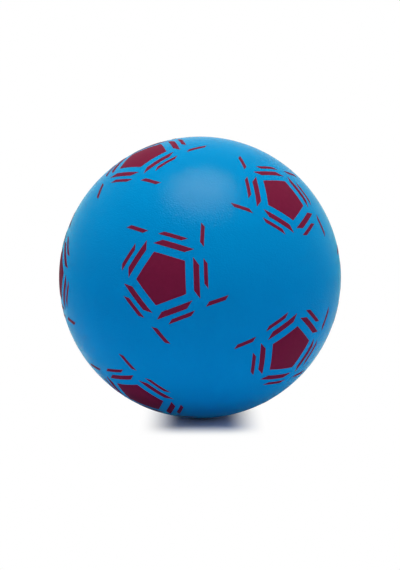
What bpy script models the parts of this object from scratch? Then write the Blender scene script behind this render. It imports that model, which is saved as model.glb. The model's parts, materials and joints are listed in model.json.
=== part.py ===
"""Foam futsal ball, size 4: a soft foam core in a tough moulded skin, with a football print.

Units are metres and degrees. The ball is modelled with its front motif on +Z and the mould's
parting plane at z = 0. An empty then tips it over, to lie as it does on the floor: +Z up and
the front motif towards -Y.
"""

import math
from collections import namedtuple

import bmesh
import bpy
from mathutils import Matrix, Vector

# Ball
BALL_DIAMETER = 0.200
SKIN_WALL = 0.0012
CLEARANCE = 0.0003  # left between pieces that touch on the real ball

# How the ball lies: where its front motif points, and how far it is rolled about that motif
FRONT_LEFT = 14.3
FRONT_LIFT = 5.5
FRONT_ROLL = 3.3

# Ink of the print, which stands a little proud of the skin
INK_SEAT = 0.00015
INK_FILM = 0.0002

# A motif is drawn flat, on a plane that touches the ball at the motif's centre, and is then
# carried to the ball along its radii. Distances run from the centre towards a side's middle,
# shifts run along the side, towards the corner that the dash goes past. A cut is the angle
# between a slanted end and the bar's length.
PENTAGON_APOTHEM = 0.0154
INNER_BAR_DISTANCE = 0.0230
INNER_BAR_WIDTH = 0.0041
INNER_BAR_LENGTH = 0.0229
INNER_BAR_SHIFT = -0.0005
OUTER_BAR_DISTANCE = 0.0297
OUTER_BAR_WIDTH = 0.0028
OUTER_BAR_LENGTH = 0.0175
OUTER_BAR_SHIFT = 0.0023
BAR_CUT = 36.0
DASH_DISTANCE = 0.0282
DASH_WIDTH = 0.0029
DASH_LENGTH = 0.0157
DASH_SHIFT = 0.0306
DASH_CUT = 42.0
DASH_LEAN = 4.7  # outwards, away from the side that the dash goes along

# Facets
TURN_STEPS = 48
INK_FACET = 0.008

# The twelve motifs: the front one, the five round it clockwise, and those opposite each of them
MOTIFS = (
    "front",
    "left",
    "upper_left",
    "upper_right",
    "lower_right",
    "lower_left",
    "back",
    "right",
    "back_lower_right",
    "back_lower_left",
    "back_upper_left",
    "back_upper_right",
)
# Motifs printed in mirror image, from a stamp a little smaller than the others'
MIRRORED_MOTIFS = ("upper_right",)
MIRRORED_SCALE = 0.96
# Neighbours with no dashes between them
BARE_SEAMS = (
    {"front", "left"},
    {"lower_left", "lower_right"},
    {"upper_right", "lower_right"},
)
# Motifs printed out of register: the neighbour that each lies towards, how far, and its own roll
DRIFTS = {
    "left": ("back_upper_left", 5.4, 2.2),
    "lower_left": ("left", 4.0, 1.3),
    "upper_left": ("back_upper_right", 1.0, -1.2),
    "upper_right": ("front", 0.4, -0.9),
    "lower_right": ("upper_right", 0.4, 1.5),
}

SIDES = 5
SIDE_TURN = math.tau / SIDES
BALL_RADIUS = BALL_DIAMETER / 2
INK_TOP = BALL_RADIUS + INK_SEAT + INK_FILM
# A facet's middle lies this far inside the true ball
FACET_DIP = BALL_RADIUS * (1 - math.cos(math.pi / TURN_STEPS) ** 2)

Bar = namedtuple("Bar", "distance width length shift cut lean")
INNER_BAR = Bar(INNER_BAR_DISTANCE, INNER_BAR_WIDTH, INNER_BAR_LENGTH, INNER_BAR_SHIFT, BAR_CUT, 0.0)
OUTER_BAR = Bar(OUTER_BAR_DISTANCE, OUTER_BAR_WIDTH, OUTER_BAR_LENGTH, OUTER_BAR_SHIFT, BAR_CUT, 0.0)
DASH = Bar(DASH_DISTANCE, DASH_WIDTH, DASH_LENGTH, DASH_SHIFT, DASH_CUT, DASH_LEAN)


def clear_scene():
    for old in list(bpy.data.objects):
        bpy.data.objects.remove(old)


def new_collection(name, parent):
    made = bpy.data.collections.new(name)
    parent.children.link(made)
    return made


def new_material(name, colour, roughness):
    made = bpy.data.materials.new(name)
    made.use_nodes = True
    shader = made.node_tree.nodes["Principled BSDF"]
    shader.inputs["Base Color"].default_value = (*colour, 1.0)
    shader.inputs["Roughness"].default_value = roughness
    shader.inputs["Metallic"].default_value = 0.0
    return made


def new_object(name, mesh, home):
    made = bpy.data.objects.new(name, mesh)
    home.objects.link(made)
    return made


def new_piece(name, mesh, home, attitude, material):
    made = new_object(name, mesh, home)
    made.parent = attitude
    mesh.materials.append(material)
    return made


def new_helper(name, mesh, home, attitude):
    made = new_object(name, mesh, home)
    made.parent = attitude
    made.hide_render = True
    made.display_type = "WIRE"
    return made


def mesh_from(name, bm):
    mesh = bpy.data.meshes.new(name)
    bm.to_mesh(mesh)
    bm.free()
    return mesh


# Turned pieces
def arc_profile(bm, radius, outward):
    """Half a circle at +X, run down the ball for an outside surface and up it for an inside one."""
    rings = TURN_STEPS // 2
    turns = [math.pi * k / rings for k in range(rings + 1)]
    if not outward:
        turns.reverse()
    points = [bm.verts.new((radius * math.sin(t), 0.0, radius * math.cos(t))) for t in turns]
    for start, end in zip(points, points[1:]):
        bm.edges.new((start, end))


def turn_profile(piece):
    """Revolve a profile once about Z."""
    screw = piece.modifiers.new("turn", "SCREW")
    screw.axis = "Z"
    screw.angle = math.tau
    screw.steps = TURN_STEPS
    screw.render_steps = TURN_STEPS
    screw.use_merge_vertices = True
    screw.merge_threshold = CLEARANCE / 10
    screw.use_smooth_shade = True


def foam_core(home, attitude, material):
    """The moulded foam ball that fills the skin."""
    bm = bmesh.new()
    arc_profile(bm, BALL_RADIUS - SKIN_WALL - CLEARANCE, outward=True)
    turn_profile(new_piece("foam_core", mesh_from("foam_core", bm), home, attitude, material))


def parting_cutter(name, half, home, attitude):
    """A block over all that lies past the parting plane, as seen from the half on one side."""
    reach = 2 * BALL_DIAMETER
    start = half * CLEARANCE / 2
    bm = bmesh.new()
    bmesh.ops.create_cube(bm, size=reach)
    bmesh.ops.translate(bm, vec=(0.0, 0.0, start - half * reach / 2), verts=bm.verts)
    return new_helper(name, mesh_from(name, bm), home, attitude)


def skin_half(name, cutter, raised_bars, home, attitude, material):
    """Half of the hollow skin, with the print's bars fused to it and cut at the parting plane."""
    bm = bmesh.new()
    arc_profile(bm, BALL_RADIUS, outward=True)
    arc_profile(bm, BALL_RADIUS - SKIN_WALL, outward=False)
    piece = new_piece(name, mesh_from(name, bm), home, attitude, material)
    turn_profile(piece)
    bars = piece.modifiers.new("raised_bars", "BOOLEAN")
    bars.operation = "UNION"
    bars.operand_type = "COLLECTION"
    bars.collection = raised_bars
    parting = piece.modifiers.new("parting", "BOOLEAN")
    parting.operation = "DIFFERENCE"
    parting.object = cutter


# Print
def motif_centres():
    """Directions of the motifs: the corners of an icosahedron that has one of them on +Z."""
    polar = math.atan(2)
    near = [Vector((0.0, 0.0, 1.0))]
    for k in range(SIDES):
        round_turn = math.pi - k * SIDE_TURN
        flat = Vector((math.cos(round_turn), math.sin(round_turn), 0.0))
        near.append(flat * math.sin(polar) + near[0] * math.cos(polar))
    return near + [-centre for centre in near]


def register_drift(motif, centres):
    """The small turns about the ball's centre by which a motif lies off its true place."""
    if motif not in DRIFTS:
        return Matrix.Identity(4)
    towards, angle, roll = DRIFTS[motif]
    centre = centres[MOTIFS.index(motif)]
    axis = centre.cross(centres[MOTIFS.index(towards)])
    shift = Matrix.Rotation(math.radians(angle), 4, axis)
    return shift @ Matrix.Rotation(math.radians(roll), 4, centre)


def motif_places(centres):
    """For each motif, the placing that carries +Z to it, with +X towards the first of its
    neighbours, and its neighbours' numbers counterclockwise from that one."""
    places = []
    for motif, out in zip(MOTIFS, centres):
        nearest = sorted(range(len(centres)), key=lambda i: -out.dot(centres[i]))
        neighbours = nearest[1 : 1 + SIDES]
        first = centres[neighbours[0]]
        along = (first - out * out.dot(first)).normalized()
        across = out.cross(along)
        turns = {i: math.atan2(across.dot(centres[i]), along.dot(centres[i])) for i in neighbours}
        neighbours.sort(key=lambda i: round(turns[i] % math.tau, 3) % round(math.tau, 3))
        rotation = Matrix((along, across, out)).transposed().to_4x4()
        scale = MIRRORED_SCALE if motif in MIRRORED_MOTIFS else 1.0
        stamp = Matrix.Diagonal((scale, scale, 1.0, 1.0))
        places.append((register_drift(motif, centres) @ rotation @ stamp, neighbours))
    return places


def wrap_on_ball(bm, place, low, high):
    """Carry flat faces to the ball along its radii, as curved solids between two radii."""
    bmesh.ops.transform(bm, matrix=place, verts=bm.verts)
    under = list(bm.verts)
    grown = bmesh.ops.extrude_face_region(bm, geom=bm.faces[:])["geom"]
    over = [item for item in grown if isinstance(item, bmesh.types.BMVert)]
    for radius, points in ((low, under), (high, over)):
        for point in points:
            point.co = point.co.normalized() * radius
    bmesh.ops.recalc_face_normals(bm, faces=bm.faces)


def ink_cuts(length):
    """How many cuts keep an edge's facets short enough to follow the ball."""
    return math.ceil(length / INK_FACET) - 1


def pentagon_film(name, place, home, attitude, material):
    """The ink of one pentagon, with its corners towards the neighbouring motifs."""
    corner_distance = PENTAGON_APOTHEM / math.cos(SIDE_TURN / 2)
    bm = bmesh.new()
    bmesh.ops.create_circle(
        bm,
        cap_ends=True,
        cap_tris=True,
        segments=SIDES,
        radius=corner_distance,
        matrix=Matrix.Translation((0.0, 0.0, BALL_RADIUS)) @ Matrix.Rotation(-math.pi / 2, 4, "Z"),
    )
    bmesh.ops.subdivide_edges(bm, edges=bm.edges[:], cuts=ink_cuts(corner_distance), use_grid_fill=True)
    wrap_on_ball(bm, place, BALL_RADIUS + INK_SEAT, INK_TOP)
    mesh = mesh_from(name, bm)
    mesh.shade_smooth()
    mesh.set_sharp_from_angle(angle=math.radians(30))
    new_piece(name, mesh, home, attitude, material)


def bar_corners(bar, side, hand):
    """Corners of a slant-ended bar beside a side of the pentagon, drawn flat."""
    facing = Matrix.Rotation((side + 0.5) * SIDE_TURN, 4, "Z")
    lean = Matrix.Rotation(math.radians(-bar.lean), 2)
    slant = bar.width / 2 / math.tan(math.radians(bar.cut))
    corners = []
    for edge, end in ((-1, -1), (-1, 1), (1, 1), (1, -1)):
        out, along = lean @ Vector((edge * bar.width / 2, end * bar.length / 2 - edge * slant))
        spot = Vector((bar.distance + out, hand * (bar.shift + along), BALL_RADIUS))
        corners.append(facing @ spot)
    return corners


def lies_on_half(corners, place, half):
    """Whether a bar comes past the gap at the parting plane by enough to be fused to a half."""
    return any(half * (place @ corner).normalized().z * BALL_RADIUS > CLEARANCE for corner in corners)


def add_bar(bm, corners, length):
    """One bar, drawn flat and cut across so that it can follow the ball."""
    face = bm.faces.new([bm.verts.new(corner) for corner in corners])
    long_edges = [face.edges[0], face.edges[2]]
    bmesh.ops.subdivide_edges(bm, edges=long_edges, cuts=ink_cuts(length), use_grid_fill=True)


def motif_bars(name, motif, place, neighbours, half, home, attitude):
    """The bars round one pentagon, and its dashes, as solids that bite into the wall of a half."""
    hand = -1 if motif in MIRRORED_MOTIFS else 1
    bm = bmesh.new()
    for side in range(SIDES):
        bars = [INNER_BAR, OUTER_BAR]
        past_corner = (side + 1) % SIDES if hand > 0 else side
        if {motif, MOTIFS[neighbours[past_corner]]} not in BARE_SEAMS:
            bars.append(DASH)
        for bar in bars:
            corners = bar_corners(bar, side, hand)
            if lies_on_half(corners, place, half):
                add_bar(bm, corners, bar.length)
    middle_of_wall = BALL_RADIUS - (SKIN_WALL + FACET_DIP) / 2
    wrap_on_ball(bm, place, middle_of_wall, INK_TOP)
    mesh = mesh_from(name, bm)
    if mesh.polygons:
        new_helper(name, mesh, home, attitude)


def main():
    clear_scene()
    scene = bpy.context.scene.collection
    ball = new_collection("foam_futsal_ball", scene)
    cutters = new_collection("cutters", scene)

    foam = new_material("moulded_foam", (0.72, 0.66, 0.52), 0.95)
    skin = new_material("blue_skin", (0.0, 0.165, 0.44), 0.42)
    ink = new_material("burgundy_ink", (0.115, 0.008, 0.03), 0.45)

    attitude = new_object("attitude", None, ball)
    attitude.matrix_world = (
        Matrix.Rotation(math.radians(-FRONT_LEFT), 4, "Z")
        @ Matrix.Rotation(math.radians(90 - FRONT_LIFT), 4, "X")
        @ Matrix.Rotation(math.radians(FRONT_ROLL), 4, "Z")
    )

    places = motif_places(motif_centres())
    for motif, (place, _) in zip(MOTIFS, places):
        pentagon_film("pentagon_" + motif, place, ball, attitude, ink)
    foam_core(ball, attitude, foam)
    for name, half in (("skin_front", 1), ("skin_back", -1)):
        cutter = parting_cutter("past_" + name, half, cutters, attitude)
        raised_bars = new_collection("raised_bars_" + name, cutters)
        for motif, (place, neighbours) in zip(MOTIFS, places):
            motif_bars(name + "_bars_" + motif, motif, place, neighbours, half, raised_bars, attitude)
        skin_half(name, cutter, raised_bars, ball, attitude, skin)


main()
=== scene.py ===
"""Foam futsal ball, resting on a pale studio floor.

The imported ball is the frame. One seamless satin skin stands for its two halves, a foam ball with
open cells stands for its core, and each printed motif stands for one pentagon of the frame, from
which it takes its place. Sizes are in metres.
"""

import json
import math

import bpy
from mathutils import Euler, Matrix, Vector


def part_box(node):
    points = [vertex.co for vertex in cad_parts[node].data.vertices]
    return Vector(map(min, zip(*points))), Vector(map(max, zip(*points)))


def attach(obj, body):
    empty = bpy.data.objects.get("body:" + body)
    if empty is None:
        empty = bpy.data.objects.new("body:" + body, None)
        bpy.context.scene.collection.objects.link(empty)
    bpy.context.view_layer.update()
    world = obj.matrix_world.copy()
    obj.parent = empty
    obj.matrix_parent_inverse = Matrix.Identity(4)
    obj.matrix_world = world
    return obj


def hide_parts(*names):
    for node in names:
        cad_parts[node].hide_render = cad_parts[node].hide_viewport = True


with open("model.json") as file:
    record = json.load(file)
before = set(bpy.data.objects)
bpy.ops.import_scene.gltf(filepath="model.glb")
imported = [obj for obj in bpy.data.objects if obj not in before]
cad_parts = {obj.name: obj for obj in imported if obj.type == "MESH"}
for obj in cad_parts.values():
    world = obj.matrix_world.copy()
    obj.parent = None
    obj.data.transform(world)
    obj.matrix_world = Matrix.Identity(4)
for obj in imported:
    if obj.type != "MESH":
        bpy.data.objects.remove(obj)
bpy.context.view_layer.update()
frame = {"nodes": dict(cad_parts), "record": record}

# Ball, which meets the floor one radius below its middle
BALL_RADIUS = -frame["record"]["mounts"][0]["pos_m"][2]
SKIN_WALL = 0.0012
SKIN_SUBDIVISIONS = 7
LINING_SUBDIVISIONS = 5
CORE_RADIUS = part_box("foam_core")[1].z
CORE_SUBDIVISIONS = 7
# Open cells of the foam, which reach their full depth at a share of their size from their walls
CELL_SIZE = 0.0045
CELL_DEPTH = 0.0007
CELL_SLOPE = 0.35
CELL_RANDOMNESS = 0.9

# Print, drawn flat on a plane that touches the ball at the motif's centre. Distances run from the
# centre towards a side's middle, shifts run along the side to the corner that the dash goes past.
# A slant is how far an end runs along the bar for each step across it, and a lean turns a bar outwards.
INK_FILM = 0.0001
INK_BITE = 0.00002
BAR_CUT = math.radians(36)
DASH_CUT = math.radians(42)
MOTIF_SIZES = {
    "Ball Radius": BALL_RADIUS,
    "Ink Film": INK_FILM,
    "Ink Bite": INK_BITE,
    "Pentagon Apothem": 0.0154,
    "Inner Bar Distance": 0.0230,
    "Inner Bar Width": 0.0041,
    "Inner Bar Length": 0.0229,
    "Inner Bar Shift": -0.0005,
    "Inner Bar Slant": 1 / math.tan(BAR_CUT),
    "Inner Bar Lean": 0.0,
    "Outer Bar Distance": 0.0297,
    "Outer Bar Width": 0.0028,
    "Outer Bar Length": 0.0175,
    "Outer Bar Shift": 0.0023,
    "Outer Bar Slant": 1 / math.tan(BAR_CUT),
    "Outer Bar Lean": 0.0,
    "Dash Distance": 0.0282,
    "Dash Width": 0.0029,
    "Dash Length": 0.0157,
    "Dash Shift": 0.0306,
    "Dash Slant": 1 / math.tan(DASH_CUT),
    "Dash Lean": math.radians(4.7),
}
BAR_KINDS = ("Inner Bar", "Outer Bar", "Dash")
BAR_POINTS_ACROSS = 4
BAR_POINTS_ALONG = 16
PENTAGON_SUBDIVISIONS = 4
INK_SHARP_EDGE = math.radians(30)
SIDES = 5
SIDE_TURN = math.tau / SIDES
# From a motif on +Z, the way to the neighbour that its corner on +X points at
NEIGHBOUR_WAY = Vector((2.0, 0.0, 1.0))
# Motifs printed in mirror image, from a stamp a little smaller than the others'
MIRRORED_MOTIFS = ("upper_right",)
MIRRORED_SCALE = 0.96
# Neighbours with no dashes between them
BARE_SEAMS = ({"front", "left"}, {"lower_left", "lower_right"}, {"upper_right", "lower_right"})

# Finish: colours, roughness from the least to the most, sizes of the patterns and depths of the bumps.
# A mould grain of about 0.4 mm is drawn at 1.1 mm, as fine as the picture can show.
GRAIN_SIZE = 0.0011
PLASTIC_IOR = 1.5
SKIN_BLUES = ("#0072C6", "#0078CE")
SKIN_ROUGHNESS = (0.14, 0.22)
SKIN_SPECULAR = 0.009
SKIN_CLOUD_SIZE = 0.030
SKIN_WAVE_SIZE = 0.016
SKIN_WAVE_DEPTH = 0.0001
SKIN_GRAIN_DEPTH = 0.0004
BLOOM_COLOUR = "#18CCC8"
BLOOM_WEIGHT = 0.28
BLOOM_ROUGHNESS = 0.45
INK_BURGUNDIES = ("#5E1236", "#68163D")
INK_ROUGHNESS = (0.44, 0.54)
INK_SPECULAR = 0.010
INK_LAY_SIZE = 0.003
INK_GRAIN_DEPTH = 0.00005
# The foam's cream, then the painted shade towards the middle of its cells
FOAM_CREAM_AND_CELL_SHADE = ("#E2D6BC", "#A8987A")
FOAM_ROUGHNESS = 0.95
FOAM_FUZZ_SIZE = 0.0008
FOAM_FUZZ_DEPTH = 0.0002

# Camera: the ball's middle lies a little above the middle of the 400 by 570 pixel picture
PICTURE_HEIGHT = 570
FOCAL_PIXELS = 1840
BALL_RISE_PIXELS = 7.6
CAMERA_DISTANCE = 1.31
CAMERA_LIFT = math.radians(6)

# Studio: each side of the room, how bright it is and its colour, blended smoothly round the ball
LAMP_COLOUR = "#FFFFCC"
ROOM_SIDES = {
    "left": (Vector((-1, 0, 0)), 1.26, "#FFFFFF"),
    "right": (Vector((1, 0, 0)), 1.14, "#FFFFFF"),
    "back": (Vector((0, 1, 0)), 1.55, LAMP_COLOUR),
}
SIDE_FALLOFF = 2.0
SOFTBOX_SIZE = 0.8
SOFTBOX_PLACE = Vector((0.02, -0.25, 1.05))
SOFTBOX_WATTS = 15.8
# A second softbox at the same place lights no matt surface and adds to the highlights only
HIGHLIGHT_WATTS = 81.0
FLOOR_SIZE = 30.0
PAPER_WHITE = "#E8F0FF"
SHADED_PAPER = "#D8E4F2"
# The camera sees the shadow at the ball's foot, which fades to white from its core to its edge along
# the floor's X and Y. Nothing fades along Z, where the two only have to differ.
SHADOW_MIDDLE = Vector((0.002, -0.010, 0.0))
SHADOW_CORE = Vector((0.0155, 0.024, 0.0))
SHADOW_EDGE = Vector((0.0445, 0.070, 1.0))


# Nodes
def linear(hex_colour):
    """An sRGB hex colour as linear red, green, blue and a full alpha."""
    shares = [int(hex_colour[i : i + 2], 16) / 255 for i in (1, 3, 5)]
    light = [s / 12.92 if s <= 0.04045 else ((s + 0.055) / 1.055) ** 2.4 for s in shares]
    return (*light, 1.0)


def feed(tree, node, inputs):
    """Set a node's inputs, each to a value or to the socket that feeds it."""
    for name, value in inputs.items():
        if isinstance(value, bpy.types.NodeSocket):
            tree.links.new(value, node.inputs[name])
        else:
            node.inputs[name].default_value = value


def add(tree, kind, inputs=None, **settings):
    """Add a node with its settings and inputs."""
    node = tree.nodes.new(kind)
    for name, value in settings.items():
        setattr(node, name, value)
    feed(tree, node, inputs or {})
    return node


def maths(tree, operation, *terms):
    """The number that an operation makes of its terms."""
    return add(tree, "ShaderNodeMath", dict(enumerate(terms)), operation=operation).outputs[0]


def vector_maths(tree, operation, *terms):
    """The vector that an operation makes of its terms."""
    return add(tree, "ShaderNodeVectorMath", dict(enumerate(terms)), operation=operation).outputs[0]


def scaled(tree, start, factor):
    """A vector times a number."""
    return add(tree, "ShaderNodeVectorMath", {0: start, "Scale": factor}, operation="SCALE").outputs[0]


def xyz(tree, **parts):
    """A vector from its parts, with 0 for each that isn't given."""
    return add(tree, "ShaderNodeCombineXYZ", parts).outputs[0]


def foam_cells(tree, place, pitch):
    """How far a place in the foam lies from the walls of its cell."""
    cells = add(
        tree,
        "ShaderNodeTexVoronoi",
        {"Vector": place, "Scale": pitch, "Randomness": CELL_RANDOMNESS},
        feature="DISTANCE_TO_EDGE",
    )
    return cells.outputs["Distance"]


# Geometry trees
def open_tree(name, sizes, switches=()):
    """A geometry tree with a named input for each size and switch, and one for its material."""
    tree = bpy.data.node_groups.new(name, "GeometryNodeTree")
    for size in sizes:
        tree.interface.new_socket(size, in_out="INPUT", socket_type="NodeSocketFloat")
    for switch in switches:
        tree.interface.new_socket(switch, in_out="INPUT", socket_type="NodeSocketBool")
    tree.interface.new_socket("Material", in_out="INPUT", socket_type="NodeSocketMaterial")
    tree.interface.new_socket("Mesh", in_out="OUTPUT", socket_type="NodeSocketGeometry")
    return tree, add(tree, "NodeGroupInput").outputs


def close_tree(tree, shape, material):
    """End a geometry tree in real geometry with smooth faces and its material."""
    real = add(tree, "GeometryNodeRealizeInstances", {"Geometry": shape})
    smooth = add(tree, "GeometryNodeSetShadeSmooth", {"Geometry": real.outputs[0]})
    dressed = add(tree, "GeometryNodeSetMaterial", {"Geometry": smooth.outputs[0], "Material": material})
    add(tree, "NodeGroupOutput", {"Mesh": dressed.outputs[0]})


def round_ball(tree, radius, subdivisions):
    """A ball of even triangles."""
    ball = add(tree, "GeometryNodeMeshIcoSphere", {"Radius": radius, "Subdivisions": subdivisions})
    return ball.outputs["Mesh"]


def join(tree, shapes):
    """Several shapes as one."""
    whole = add(tree, "GeometryNodeJoinGeometry")
    for shape in shapes:
        tree.links.new(shape, whole.inputs["Geometry"])
    return whole.outputs[0]


def grow(name, tree, values):
    """A plain mesh piece from a geometry tree, with the tree's inputs set by name."""
    piece = bpy.data.objects.new(name, bpy.data.meshes.new(name))
    bpy.context.scene.collection.objects.link(piece)
    growth = piece.modifiers.new("growth", "NODES")
    growth.node_group = tree
    for socket in tree.interface.items_tree:
        if socket.in_out == "INPUT":
            growth[socket.identifier] = values[socket.name]
    depsgraph = bpy.context.evaluated_depsgraph_get()
    mesh = bpy.data.meshes.new_from_object(piece.evaluated_get(depsgraph), depsgraph=depsgraph)
    piece.modifiers.clear()
    piece.data = mesh
    mesh.name = name
    return piece


# Skin and core
def skin_tree():
    """A seamless moulded shell: a fine outer wall and a plainer inner one that faces the core."""
    tree, size = open_tree("moulded_skin", ("Ball Radius", "Skin Wall"))
    outer = round_ball(tree, size["Ball Radius"], SKIN_SUBDIVISIONS)
    inner_radius = maths(tree, "SUBTRACT", size["Ball Radius"], size["Skin Wall"])
    inner = round_ball(tree, inner_radius, LINING_SUBDIVISIONS)
    turned = add(tree, "GeometryNodeFlipFaces", {"Mesh": inner})
    close_tree(tree, join(tree, (outer, turned.outputs[0])), size["Material"])
    return tree


def core_tree():
    """A foam ball whose surface is sunk into open cells."""
    tree, size = open_tree("foam_core", ("Core Radius", "Cell Size", "Cell Depth"))
    ball = round_ball(tree, size["Core Radius"], CORE_SUBDIVISIONS)
    position = add(tree, "GeometryNodeInputPosition").outputs[0]
    cells = foam_cells(tree, position, maths(tree, "DIVIDE", 1.0, size["Cell Size"]))
    sunk = add(tree, "ShaderNodeMapRange", {"Value": cells, "From Max": CELL_SLOPE})
    depth = maths(tree, "MULTIPLY", sunk.outputs[0], size["Cell Depth"])
    inward = maths(tree, "MULTIPLY", depth, -1.0)
    dent = scaled(tree, vector_maths(tree, "NORMALIZE", position), inward)
    dented = add(tree, "GeometryNodeSetPosition", {"Geometry": ball, "Offset": dent})
    close_tree(tree, dented.outputs[0], size["Material"])
    return tree


# Print
def bar_ring(tree, size, kind):
    """One slant-ended bar, drawn flat beside the first side of the pentagon and repeated at each, and
    the number of the side that each copy lies at."""
    flat = add(
        tree,
        "GeometryNodeMeshGrid",
        {
            "Size X": size[kind + " Width"],
            "Size Y": size[kind + " Length"],
            "Vertices X": BAR_POINTS_ACROSS,
            "Vertices Y": BAR_POINTS_ALONG,
        },
    )
    place = add(tree, "GeometryNodeInputPosition").outputs[0]
    spot = add(tree, "ShaderNodeSeparateXYZ", {"Vector": place}).outputs
    run = maths(tree, "MULTIPLY", spot["X"], size[kind + " Slant"])
    slanted = xyz(tree, X=spot["X"], Y=maths(tree, "SUBTRACT", spot["Y"], run))
    leant = add(
        tree,
        "ShaderNodeVectorRotate",
        {"Vector": slanted, "Angle": size[kind + " Lean"]},
        rotation_type="Z_AXIS",
        invert=True,
    )
    middle = xyz(tree, X=size[kind + " Distance"], Y=size[kind + " Shift"])
    beside = vector_maths(tree, "ADD", leant.outputs[0], middle)
    handed = vector_maths(tree, "MULTIPLY", beside, xyz(tree, X=1.0, Y=size["Hand"], Z=1.0))
    bar = add(tree, "GeometryNodeSetPosition", {"Geometry": flat.outputs["Mesh"], "Position": handed})
    mirrored = add(tree, "FunctionNodeCompare", {"A": size["Hand"], "B": 0.0}, operation="LESS_THAN")
    upright = add(
        tree, "GeometryNodeFlipFaces", {"Mesh": bar.outputs[0], "Selection": mirrored.outputs[0]}
    )
    single = add(tree, "GeometryNodeGeometryToInstance", {"Geometry": upright.outputs[0]})
    copies = add(
        tree,
        "GeometryNodeDuplicateElements",
        {"Geometry": single.outputs[0], "Amount": SIDES},
        domain="INSTANCE",
    )
    side = copies.outputs["Duplicate Index"]
    turn = maths(tree, "MULTIPLY_ADD", side, SIDE_TURN, SIDE_TURN / 2)
    ring = add(
        tree,
        "GeometryNodeRotateInstances",
        {"Instances": copies.outputs["Geometry"], "Rotation": xyz(tree, Z=turn)},
    )
    return ring.outputs[0], side


def switched_ring(tree, ring, side, switches):
    """A ring without the copies at the sides whose switch is off."""
    shown = add(tree, "GeometryNodeIndexSwitch", data_type="BOOLEAN")
    while len(shown.index_switch_items) < len(switches):
        shown.index_switch_items.new()
    feed(tree, shown, {"Index": side, **dict(enumerate(switches, start=1))})
    bare = add(tree, "FunctionNodeBooleanMath", {0: shown.outputs[0]}, operation="NOT")
    kept = add(
        tree,
        "GeometryNodeDeleteGeometry",
        {"Geometry": ring, "Selection": bare.outputs[0]},
        domain="INSTANCE",
    )
    return kept.outputs[0]


def motif_tree():
    """A pentagon ringed by slanted bars and dashes, wrapped on the ball as a thin film of ink."""
    dashes = ["Dash %d" % side for side in range(SIDES)]
    tree, size = open_tree("print_motif", (*MOTIF_SIZES, "Hand", "Scale"), dashes)
    corner = maths(tree, "DIVIDE", size["Pentagon Apothem"], math.cos(SIDE_TURN / 2))
    outline = add(
        tree, "GeometryNodeMeshCircle", {"Vertices": SIDES, "Radius": corner}, fill_type="TRIANGLE_FAN"
    )
    pentagon = add(
        tree, "GeometryNodeSubdivideMesh", {"Mesh": outline.outputs[0], "Level": PENTAGON_SUBDIVISIONS}
    )
    drawing = [pentagon.outputs[0]]
    for kind in BAR_KINDS:
        ring, side = bar_ring(tree, size, kind)
        if kind == "Dash":
            ring = switched_ring(tree, ring, side, [size[dash] for dash in dashes])
        drawing.append(ring)
    whole = add(tree, "GeometryNodeRealizeInstances", {"Geometry": join(tree, drawing)})

    place = add(tree, "GeometryNodeInputPosition").outputs[0]
    ray = vector_maths(tree, "ADD", scaled(tree, place, size["Scale"]), xyz(tree, Z=size["Ball Radius"]))
    seat = maths(tree, "SUBTRACT", size["Ball Radius"], size["Ink Bite"])
    seated = scaled(tree, vector_maths(tree, "NORMALIZE", ray), seat)
    under = add(tree, "GeometryNodeSetPosition", {"Geometry": whole.outputs[0], "Position": seated})
    film = add(
        tree,
        "GeometryNodeExtrudeMesh",
        {
            "Mesh": under.outputs[0],
            "Offset": vector_maths(tree, "NORMALIZE", place),
            "Offset Scale": maths(tree, "ADD", size["Ink Film"], size["Ink Bite"]),
            "Individual": False,
        },
        mode="FACES",
    )
    base = add(tree, "GeometryNodeFlipFaces", {"Mesh": under.outputs[0]})
    body = join(tree, (film.outputs["Mesh"], base.outputs[0]))
    closed = add(tree, "GeometryNodeMergeByDistance", {"Geometry": body, "Distance": INK_BITE / 10})
    close_tree(tree, closed.outputs[0], size["Material"])
    return tree


def motif_places():
    """For each motif, the rotation from +Z to its pentagon in the frame, with +X at a corner."""
    places = {}
    for node, shape in frame["nodes"].items():
        if not node.startswith("pentagon_"):
            continue
        # Rounding makes one point of those that faces share, and settles which of equal corners leads
        spots = {tuple(round(part, 6) for part in point.co) for point in shape.data.vertices}
        spots = [Vector(spot) for spot in sorted(spots)]
        out = sum(spots, Vector()).normalized()
        corner = max(spots, key=lambda spot: round(spot.angle(out), 4))
        along = (corner - out * corner.dot(out)).normalized()
        rotation = Matrix((along, out.cross(along), out)).transposed()
        places[node.removeprefix("pentagon_")] = rotation.to_4x4()
    return places


def shown_dashes(motif, hand, places):
    """Which sides of a motif have a dash, from the neighbour that each corner points at."""
    shown = {}
    for side in range(SIDES):
        corner = side + 1 if hand > 0 else side
        turn = Matrix.Rotation(corner * SIDE_TURN, 4, "Z")
        aim = (places[motif] @ turn @ NEIGHBOUR_WAY).normalized()
        others = [name for name in places if name != motif]
        neighbour = max(others, key=lambda name: aim.dot(places[name].col[2].xyz))
        shown["Dash %d" % side] = {motif, neighbour} not in BARE_SEAMS
    return shown


# Materials
def open_material(name):
    """A material, its tree, its shader and the place on the object that is shaded."""
    material = bpy.data.materials.new(name)
    material.use_nodes = True
    tree = material.node_tree
    place = add(tree, "ShaderNodeTexCoord").outputs["Object"]
    return material, tree, tree.nodes["Principled BSDF"], place


def noise(tree, place, size, detail):
    """Soft noise with spots of about a given size."""
    spots = add(tree, "ShaderNodeTexNoise", {"Vector": place, "Scale": 1 / size, "Detail": detail})
    return spots.outputs["Fac"]


def blend(tree, share, colours):
    """A colour between two, by a share."""
    first, last = (linear(colour) for colour in colours)
    return add(tree, "ShaderNodeMix", {0: share, 6: first, 7: last}, data_type="RGBA").outputs[2]


def spread(tree, share, limits):
    """A number between two limits, by a share."""
    least, most = limits
    between = add(tree, "ShaderNodeMapRange", {"Value": share, "To Min": least, "To Max": most})
    return between.outputs[0]


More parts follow.
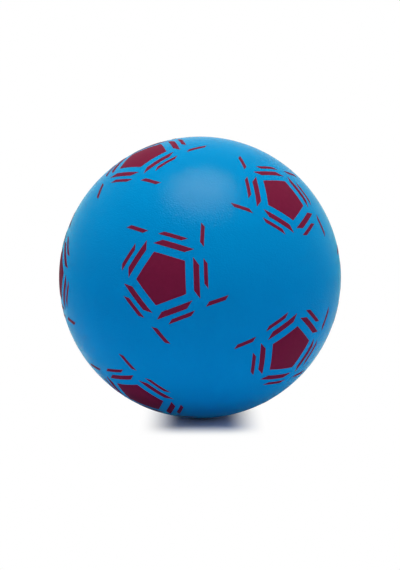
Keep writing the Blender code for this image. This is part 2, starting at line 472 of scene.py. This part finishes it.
def bump(tree, height, depth, strength, under=None):
    """A normal that follows a height, over another normal if there is one."""
    inputs = {"Height": height, "Strength": strength, "Distance": depth}
    if under is not None:
        inputs["Normal"] = under
    return add(tree, "ShaderNodeBump", inputs).outputs[0]


def polyurethane_skin():
    """Moulded polyurethane skin: saturated blue, satin, with a fine grain from the mould's wall that
    breaks up its highlight, a faint unevenness of pigment, and a soft bloom that turns its edges
    turquoise."""
    material, tree, shader, place = open_material("moulded_polyurethane_skin")
    cloud = noise(tree, place, SKIN_CLOUD_SIZE, detail=3.0)
    grain = noise(tree, place, GRAIN_SIZE, detail=2.0)
    wave = noise(tree, place, SKIN_WAVE_SIZE, detail=1.0)
    soft = bump(tree, wave, SKIN_WAVE_DEPTH, strength=0.5)
    inputs = {
        "Base Color": blend(tree, cloud, SKIN_BLUES),
        "Roughness": spread(tree, grain, SKIN_ROUGHNESS),
        "Normal": bump(tree, grain, SKIN_GRAIN_DEPTH, strength=0.5, under=soft),
        "IOR": PLASTIC_IOR,
        "Specular IOR Level": SKIN_SPECULAR,
        "Sheen Weight": BLOOM_WEIGHT,
        "Sheen Roughness": BLOOM_ROUGHNESS,
        "Sheen Tint": linear(BLOOM_COLOUR),
    }
    feed(tree, shader, inputs)
    return material


def printed_ink():
    """Flexible screen-printed ink: burgundy, flatter than the skin, with the skin's grain showing
    through it and small changes in how thickly it lies."""
    material, tree, shader, place = open_material("screen_printed_ink")
    lay = noise(tree, place, INK_LAY_SIZE, detail=3.0)
    grain = noise(tree, place, GRAIN_SIZE, detail=2.0)
    inputs = {
        "Base Color": blend(tree, lay, INK_BURGUNDIES),
        "Roughness": spread(tree, lay, INK_ROUGHNESS),
        "Normal": bump(tree, grain, INK_GRAIN_DEPTH, strength=0.5),
        "IOR": PLASTIC_IOR,
        "Specular IOR Level": INK_SPECULAR,
    }
    feed(tree, shader, inputs)
    return material


def polyurethane_foam():
    """Moulded polyurethane foam: cream and quite matt, with painted shade that darkens it down in its
    open cells.
    """
    material, tree, shader, place = open_material("moulded_polyurethane_foam")
    fuzz = noise(tree, place, FOAM_FUZZ_SIZE, detail=2.0)
    inputs = {
        # Painted shade: the cream darkens towards each cell's middle, where the cell sinks deepest
        "Base Color": blend(tree, foam_cells(tree, place, 1 / CELL_SIZE), FOAM_CREAM_AND_CELL_SHADE),
        "Roughness": FOAM_ROUGHNESS,
        "Normal": bump(tree, fuzz, FOAM_FUZZ_DEPTH, strength=0.6),
    }
    feed(tree, shader, inputs)
    return material


def sees_background(tree):
    """Whether a ray comes from the camera, a reflection or through glass, which see a white studio."""
    ray = add(tree, "ShaderNodeLightPath").outputs
    shiny = maths(tree, "MAXIMUM", ray["Is Camera Ray"], ray["Is Glossy Ray"])
    return maths(tree, "MAXIMUM", shiny, ray["Is Transmission Ray"])


def studio_floor():
    """Matt white paper, which the camera sees lit over to white outside the ball's shadow. In the shadow
    and in reflections it is a shade darker than where it lights the ball."""
    material = bpy.data.materials.new("matt_white_paper")
    material.use_nodes = True
    tree = material.node_tree
    tree.nodes.clear()
    paper = add(tree, "ShaderNodeBsdfDiffuse", {"Color": linear(PAPER_WHITE)})
    shaded = add(tree, "ShaderNodeBsdfDiffuse", {"Color": linear(SHADED_PAPER)})
    white = add(tree, "ShaderNodeEmission", {"Color": linear("#FFFFFF"), "Strength": 1.0})
    place = add(tree, "ShaderNodeTexCoord").outputs["Object"]
    far = vector_maths(tree, "ABSOLUTE", vector_maths(tree, "SUBTRACT", place, SHADOW_MIDDLE))
    fade = add(
        tree,
        "ShaderNodeMapRange",
        {6: far, 7: SHADOW_EDGE, 8: SHADOW_CORE},
        data_type="FLOAT_VECTOR",
        interpolation_type="SMOOTHSTEP",
    )
    side = add(tree, "ShaderNodeSeparateXYZ", {0: fade.outputs["Vector"]}).outputs
    away = maths(tree, "SUBTRACT", 1.0, maths(tree, "MULTIPLY", side["X"], side["Y"]))
    camera = add(tree, "ShaderNodeLightPath").outputs["Is Camera Ray"]
    over = maths(tree, "MULTIPLY", away, camera)
    seen = add(tree, "ShaderNodeMixShader", {0: over, 1: shaded.outputs[0], 2: white.outputs[0]})
    either = add(
        tree,
        "ShaderNodeMixShader",
        {0: sees_background(tree), 1: paper.outputs[0], 2: seen.outputs[0]},
    )
    add(tree, "ShaderNodeOutputMaterial", {"Surface": either.outputs[0]})
    return material


# Studio
def lay_floor():
    """A wide floor under the ball."""
    half = FLOOR_SIZE / 2
    mesh = bpy.data.meshes.new("floor")
    corners = [(-half, -half), (half, -half), (half, half), (-half, half)]
    mesh.from_pydata([(x, y, -BALL_RADIUS) for x, y in corners], [], [(0, 1, 2, 3)])
    mesh.materials.append(studio_floor())
    floor = bpy.data.objects.new("floor", mesh)
    bpy.context.scene.collection.objects.link(floor)


def hang_softbox(name, watts):
    """A round softbox above the ball and in front of it, turned to its middle."""
    lamp = bpy.data.lights.new(name, "AREA")
    lamp.shape = "DISK"
    lamp.size = SOFTBOX_SIZE
    lamp.energy = watts
    lamp.color = linear(LAMP_COLOUR)[:3]
    softbox = bpy.data.objects.new(name, lamp)
    softbox.location = SOFTBOX_PLACE
    softbox.rotation_euler = SOFTBOX_PLACE.to_track_quat("Z", "Y").to_euler()
    bpy.context.scene.collection.objects.link(softbox)
    return softbox


def light_room():
    """Soft light from the room's sides; the camera and reflections see the room as white."""
    world = bpy.data.worlds.new("studio_room")
    world.use_nodes = True
    tree = world.node_tree
    tree.nodes.clear()
    look = add(tree, "ShaderNodeTexCoord").outputs["Generated"]
    total = (0.0, 0.0, 0.0)
    for facing, light, colour in ROOM_SIDES.values():
        share = add(tree, "ShaderNodeVectorMath", {0: look, 1: facing}, operation="DOT_PRODUCT")
        ahead = maths(tree, "MAXIMUM", share.outputs["Value"], 0.0)
        glow = maths(tree, "POWER", ahead, SIDE_FALLOFF)
        full = Vector(linear(colour)[:3]) * light
        total = vector_maths(tree, "MULTIPLY_ADD", glow, full, total)
    room = add(tree, "ShaderNodeBackground", {"Color": total, "Strength": 1.0})
    white = add(tree, "ShaderNodeBackground", {"Color": linear("#FFFFFF"), "Strength": 1.0})
    either = add(
        tree,
        "ShaderNodeMixShader",
        {0: sees_background(tree), 1: room.outputs[0], 2: white.outputs[0]},
    )
    add(tree, "ShaderNodeOutputWorld", {"Surface": either.outputs[0]})
    bpy.context.scene.world = world


def set_camera():
    """The camera, a little above the ball's level and aimed just below its middle."""
    lens = bpy.data.cameras.new("camera")
    lens.lens = FOCAL_PIXELS / PICTURE_HEIGHT * lens.sensor_width
    camera = bpy.data.objects.new("camera", lens)
    back = Vector((0.0, -math.cos(CAMERA_LIFT), math.sin(CAMERA_LIFT)))
    drop = math.atan(BALL_RISE_PIXELS / FOCAL_PIXELS)
    camera.location = back * CAMERA_DISTANCE
    camera.rotation_euler = Euler((math.pi / 2 - CAMERA_LIFT - drop, 0.0, 0.0))
    bpy.context.scene.collection.objects.link(camera)
    bpy.context.scene.camera = camera


def main():
    bpy.context.scene.view_settings.view_transform = "Standard"
    skin = grow(
        "ball_skin",
        skin_tree(),
        {"Ball Radius": BALL_RADIUS, "Skin Wall": SKIN_WALL, "Material": polyurethane_skin()},
    )
    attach(skin, "root")
    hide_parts("skin_front", "skin_back")

    core = grow(
        "foam_ball",
        core_tree(),
        {
            "Core Radius": CORE_RADIUS,
            "Cell Size": CELL_SIZE,
            "Cell Depth": CELL_DEPTH,
            "Material": polyurethane_foam(),
        },
    )
    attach(core, "root")
    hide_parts("foam_core")

    tree = motif_tree()
    ink = printed_ink()
    places = motif_places()
    for motif, place in places.items():
        mirrored = motif in MIRRORED_MOTIFS
        stamp = {"Hand": -1 if mirrored else 1, "Scale": MIRRORED_SCALE if mirrored else 1.0}
        dashes = shown_dashes(motif, stamp["Hand"], places)
        piece = grow("print_" + motif, tree, {**MOTIF_SIZES, **stamp, **dashes, "Material": ink})
        piece.data.transform(place)
        piece.data.set_sharp_from_angle(angle=INK_SHARP_EDGE)
        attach(piece, "root")
        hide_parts("pentagon_" + motif)

    lay_floor()
    hang_softbox("softbox", SOFTBOX_WATTS)
    hang_softbox("highlight", HIGHLIGHT_WATTS).visible_diffuse = False
    light_room()
    set_camera()


main()
